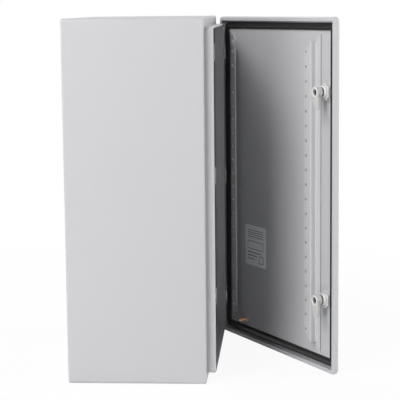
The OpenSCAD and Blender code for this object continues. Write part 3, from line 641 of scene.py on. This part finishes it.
class CABINET_OT_locks(bpy.types.Operator):
    """Makes the two quarter-turn locks: barrels, nuts, cams and spindles"""

    bl_idname = "cabinet.locks"
    bl_label = "Quarter-turn locks"

    def execute(self, context):
        sizes, cast = context.scene.cabinet_sizes, finish(context, "cast")
        nut_height = 0.008
        for end in ("upper", "lower"):
            foot = np.array(JOINTS[f"{end}_cam_turn"]["pos_m"])
            barrel = stand(around_axis(self.barrel(sizes), circle(sizes.around)), foot, DOOR_OFF)
            make_piece(f"lock_barrel_{end}", [barrel], cast, "door",
                       f"lock_housing_{end}")
            nut = stand(hex_nut(*LOCK_NUT, nut_height, sizes.around), foot, DOOR_OFF)
            make_piece(f"barrel_nut_{end}", [nut], cast, "door",
                       f"lock_nut_{end}", sharp=25)
            cam = stand(self.cam(sizes), foot, DOOR_OFF)
            make_piece(f"cam_{end}", [cam], cast, f"{end}_cam", f"lock_cam_{end}")
            finish_nodes(context, "steel", f"lock_spindle_{end}")
            finish_nodes(context, "blackened", f"cam_screw_{end}")
            finish_nodes(context, "rubber", f"lock_seal_{end}")
        return {"FINISHED"}

    def barrel(self, sizes):
        """Closed profile (radius, height off the inner skin): hollow end, stepped bore, round-edged
        head and ringed barrel."""
        head, face, top = -0.005, -0.0025, 0.0125
        hollow, bore, socket = 0.0082, 0.00506, 0.00706
        floor, step, lead = top - 0.005, head + 0.006, 0.0004
        wide, thread, depth, r = 0.016, 0.011, 0.0004, sizes.head_round
        inside = [(hollow, top), (hollow, floor), (bore, floor), (bore, step), (socket, step),
                  (socket, head + lead), (socket + lead, head)]
        rim = [(wide - r + r * math.sin(a), head + r - r * math.cos(a))
               for a in np.linspace(0, math.pi / 2, 7)]
        over_nut, under_tip = 0.0084, top - 0.0017
        heights = np.arange(over_nut, under_tip, sizes.barrel_pitch / 2)
        rings = [(thread - depth * (k % 2), z) for k, z in enumerate(heights)]
        tip = [(0.0104, top - 0.0016), (0.0086, top)]
        return inside + rim + [(wide, face), (thread, face)] + rings + tip

    def cam(self, sizes):
        """Radius as a function of the angle: a round hub, and below it the nearest of the tongue's
        straight edges; each ray carries one closed profile up the hub, round the tongue and into
        the screw's recess."""
        hub, half, reach, bevel, bevel_tall = 0.009, 0.0087, 0.028, 0.0053, 0.0097
        corners = np.array([[half, -reach], [bevel - half, -reach], [-half, bevel_tall - reach]])
        meet = math.acos(half / hub)
        even = np.linspace(-math.pi, math.pi, sizes.around, endpoint=False)
        turns = np.arctan2(corners[:, 1], corners[:, 0])
        angle = np.unique(np.concatenate([even, turns, [-meet, meet - math.pi]]))
        ray = np.stack([np.cos(angle), np.sin(angle)], -1)
        slope = np.array([-bevel_tall, -bevel]) / math.hypot(bevel_tall, bevel)
        dots = ray @ np.array([[1, 0], [-1, 0], [0, -1], slope]).T
        depths = np.array([half, half, reach, slope @ corners[2]])
        nearest = np.where(dots > 1e-9, depths / np.maximum(dots, 1e-9), np.inf).min(1)
        edge = np.where(ray[:, 1] < 0, np.maximum(hub, nearest), hub)
        # Heights: foot, easing of the hub, tongue's two faces, and the recess's seat
        low, ease, under, over, seat = 0.013, 0.015, 0.0213, 0.0253, 0.0203
        hole, boss, recess, relief = 0.0032, 0.0052, 0.0056, 0.0006
        top, chamfer = HUB_END, HUB_CHAMFER
        r = np.minimum(sizes.edge_round, edge - hub)
        mid = 0.3 * r
        return around_axis([
            (hole, low), (boss, low), (boss, ease), (hub - relief, ease), (hub, ease + relief),
            (hub, under), (edge - r, under), (edge - mid, under + mid), (edge, under + r),
            (edge, over - r), (edge - mid, over - mid), (edge - r, over), (hub, over),
            (hub, top - chamfer), (hub - chamfer, top), (recess + chamfer, top),
            (recess, top - chamfer), (recess, seat), (hole, seat)], angle)


class CABINET_OT_hinges(bpy.types.Operator):
    """Finishes the three hinges and their screws"""

    bl_idname = "cabinet.hinges"
    bl_label = "Hinges"

    def execute(self, context):
        for place in ("top", "middle", "bottom"):
            plated = (f"hinge_{part}_{place}" for part in ("block", "bracket", "leaf"))
            finish_nodes(context, "zinc", *plated)
            finish_nodes(context, "steel", f"hinge_pin_{place}")
        finish_nodes(context, "steel", "hinge_screws")
        return {"FINISHED"}


class CABINET_OT_earthing(bpy.types.Operator):
    """Makes the threaded earth studs with their nuts, washer and collar"""

    bl_idname = "cabinet.earthing"
    bl_label = "Earth studs"

    def execute(self, context):
        self.door_stud(context)
        self.body_stud(context)
        return {"FINISHED"}

    def door_stud(self, context):
        """A small stud off the door's inner skin, with a chamfered collar at its foot."""
        radius, tall, steps = 0.003, 0.018, 24
        inner, outer, thick, chamfer, lead = 0.0031, 0.0055, 0.0012, 0.0005, 0.0003
        low, high = (np.array(corner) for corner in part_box("door_earth_stud"))
        foot = (low + high) / 2 - DOOR_OFF * tall / 2
        pitch = context.scene.cabinet_sizes.pitch_small
        stud = stand(threaded_stud(radius, tall, pitch, steps), foot, DOOR_OFF)
        make_piece("door_stud", [stud], finish(context, "copper"), "door",
                   "door_earth_stud", wrap_rows=False, sharp=60)
        ring = [(inner, 0), (outer, 0), (outer, thick - chamfer), (outer - chamfer, thick),
                (inner + chamfer, thick), (inner, thick - lead)]
        collar = stand(around_axis(ring, circle(2 * steps)), foot, DOOR_OFF)
        make_piece("door_stud_collar", [collar], finish(context, "collar"), "door",
                   "door_earth_collar")

    def body_stud(self, context):
        """A large stud inwards from the body's right wall, with a jam nut, a washer and a nut."""
        radius, steps, sizes = 0.004, 24, context.scene.cabinet_sizes
        inward = np.array([-1.0, 0.0, 0.0])
        low, high = (np.array(corner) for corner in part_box("body_earth_stud"))
        foot = np.array([high[0], *(low + high)[1:] / 2])
        rod = threaded_stud(radius, (high - low)[0], sizes.pitch_large, steps)
        make_piece("body_stud", [stand(rod, foot, inward)], finish(context, "copper"), "cabinet",
                   "body_earth_stud", wrap_rows=False, sharp=60)
        for name, node, off, height in (("body_stud_jam_nut", "body_earth_jam_nut", 0.0, 0.004),
                                        ("body_stud_nut", "body_earth_nut", 0.0056, 0.0065)):
            nut = hex_nut(*LARGE_NUT, height, sizes.around)
            make_piece(name, [stand(nut, foot + inward * off, inward)], finish(context, "zinc"),
                       "cabinet", node, sharp=25)
        finish_nodes(context, "zinc", "body_earth_washer")


class CABINET_OT_mounting(bpy.types.Operator):
    """Makes the mounting plate's studs and nuts and finishes the plate and spacers"""

    bl_idname = "cabinet.mounting"
    bl_label = "Mounting plate"

    def execute(self, context):
        forward = np.array([0.0, -1.0, 0.0])
        pitch = context.scene.cabinet_sizes.pitch_large
        fastenings(context, "mounting", forward, LARGE_NUT, pitch)
        finish_nodes(context, "galvanised", "mounting_plate")
        finish_nodes(context, "zinc", "mounting_spacers")
        return {"FINISHED"}


class CABINET_OT_glands(bpy.types.Operator):
    """Makes the gland plate's studs and nuts and finishes the plate and its seal"""

    bl_idname = "cabinet.glands"
    bl_label = "Gland plate"

    def execute(self, context):
        pitch = context.scene.cabinet_sizes.pitch_small
        fastenings(context, "gland", UP, SMALL_NUT, pitch)
        finish_nodes(context, "galvanised", "gland_plate")
        finish_nodes(context, "rubber", "gland_seal")
        return {"FINISHED"}


class CABINET_OT_label(bpy.types.Operator):
    """Finishes the blank label with generic ruled lines"""

    bl_idname = "cabinet.label"
    bl_label = "Blank label"

    def execute(self, context):
        finish_nodes(context, "label", "rating_label")
        return {"FINISHED"}


class CABINET_OT_stage(bpy.types.Operator):
    """Sets the pale floor, the soft light and the camera"""

    bl_idname = "cabinet.stage"
    bl_label = "Floor, light and camera"

    def execute(self, context):
        context.scene.view_settings.view_transform = "Standard"
        self.floor(context)
        self.world(context)
        for name, setting in LAMPS.items():
            self.lamp(context, name, *setting)
        self.camera(context)
        return {"FINISHED"}

    def floor(self, context):
        """A large flat square under the cabinet."""
        half, level = 6.0, CAD_BOX[0][2]
        corners = [(-half, -half, level), (half, -half, level), (half, half, level),
                   (-half, half, level)]
        mesh = bpy.data.meshes.new("floor")
        mesh.from_pydata(corners, [], [(0, 1, 2, 3)])
        mesh.materials.append(self.floor_finish(context))
        floor = bpy.data.objects.new("floor", mesh)
        context.scene.collection.objects.link(floor)

    def floor_finish(self, context):
        """Pale and matt; seen straight or mirrored it is mostly white, and near the cabinet it
        keeps a faint shadow."""
        near, far, white = 0.45, 1.6, 0.93
        n = Finish("floor_finish", context.scene.cabinet_colours.floor)
        n.set(Base_Color=n.tone(n.noise(3, 2), 0.99, 1.01), Roughness=0.9)
        glow = n.add("Emission", Color=(1, 1, 1, 1), Strength=1.0).outputs[0]
        off = n.add("VectorMath", {"operation": "LENGTH"}, _0=n.place).outputs["Value"]
        share = n.math("MULTIPLY", n.seen(), n.fade(off, near, far, white, 1.0))
        mixed = n.add("MixShader", _0=share, _1=n.shader.outputs[0], _2=glow)
        n.put(n.out.inputs[0], mixed.outputs[0])
        return n.material

    def world(self, context):
        """White where it is seen, and an even soft light elsewhere."""
        world = context.scene.world or bpy.data.worlds.new("studio")
        context.scene.world = world
        world.use_nodes = True
        n = Nodes(world.node_tree)
        strength = n.span(n.seen(), context.scene.cabinet_stage.ambient, 1.0)
        sky = n.add("Background", Color=(1, 1, 1, 1), Strength=strength)
        n.add("OutputWorld", Surface=sky.outputs[0])

    def lamp(self, context, name, around, height, size):
        """A soft square lamp that looks at the cabinet, placed by its angles and its distance."""
        stage = context.scene.cabinet_stage
        data = bpy.data.lights.new(f"{name}_light", "AREA")
        data.size, data.energy = size, getattr(stage, f"{name}_power")
        a, e = math.radians(around), math.radians(height)
        back = np.array([-math.cos(a) * math.cos(e), math.sin(a) * math.cos(e), math.sin(e)])
        side = np.cross(UP, back)
        place = np.array(stage.middle) + stage.lamp_distance * back
        self.aim(context, data, place, side / np.linalg.norm(side), back)

    def camera(self, context):
        """The camera, placed by its heading, tilt and roll."""
        stage = context.scene.cabinet_stage
        data = bpy.data.cameras.new("camera")
        data.sensor_width, data.lens = 36, stage.lens
        data.clip_start, data.clip_end = 0.05, 50
        a, e = stage.heading, stage.tilt
        back = np.array([math.sin(a) * math.cos(e), -math.cos(a) * math.cos(e), math.sin(e)])
        right = np.array([math.cos(a), math.sin(a), 0.0])
        side = math.cos(stage.roll) * right + math.sin(stage.roll) * np.cross(back, right)
        context.scene.camera = self.aim(context, data, stage.place, side, back)

    def aim(self, context, data, place, side, back):
        """A lamp's or the camera's object, its x along side and its z along back."""
        thing = bpy.data.objects.new(data.name, data)
        context.scene.collection.objects.link(thing)
        axes = np.stack([side, np.cross(back, side), back], -1)
        thing.matrix_world = Matrix.Translation(place) @ Matrix(axes.tolist()).to_4x4()
        return thing


OPERATORS = (
    CABINET_OT_shells,
    CABINET_OT_gasket,
    CABINET_OT_locks,
    CABINET_OT_hinges,
    CABINET_OT_earthing,
    CABINET_OT_mounting,
    CABINET_OT_glands,
    CABINET_OT_label,
    CABINET_OT_stage,
)


class CABINET_PT_looks(bpy.types.Panel):
    """Settings and steps of the cabinet's looks"""

    bl_idname = "CABINET_PT_looks"
    bl_label = "Cabinet looks"
    bl_space_type = "VIEW_3D"
    bl_region_type = "UI"
    bl_category = "Cabinet"

    def draw(self, context):
        for group in ("cabinet_colours", "cabinet_sizes", "cabinet_stage"):
            settings = getattr(context.scene, group)
            box = self.layout.box()
            for key in settings.__annotations__:
                box.prop(settings, key)
        for operator in OPERATORS:
            self.layout.operator(operator.bl_idname)


CLASSES = (CabinetColours, CabinetSizes, CabinetStage, *OPERATORS, CABINET_PT_looks)


def register():
    for cls in CLASSES:
        bpy.utils.register_class(cls)
    bpy.types.Scene.cabinet_colours = PointerProperty(type=CabinetColours)
    bpy.types.Scene.cabinet_sizes = PointerProperty(type=CabinetSizes)
    bpy.types.Scene.cabinet_stage = PointerProperty(type=CabinetStage)


def unregister():
    del bpy.types.Scene.cabinet_stage
    del bpy.types.Scene.cabinet_sizes
    del bpy.types.Scene.cabinet_colours
    for cls in reversed(CLASSES):
        bpy.utils.unregister_class(cls)


def main():
    """Registers the settings and runs each step in order."""
    register()
    for operator in OPERATORS:
        group, step = operator.bl_idname.split(".")
        getattr(getattr(bpy.ops, group), step)()


if __name__ == "__main__":
    main()
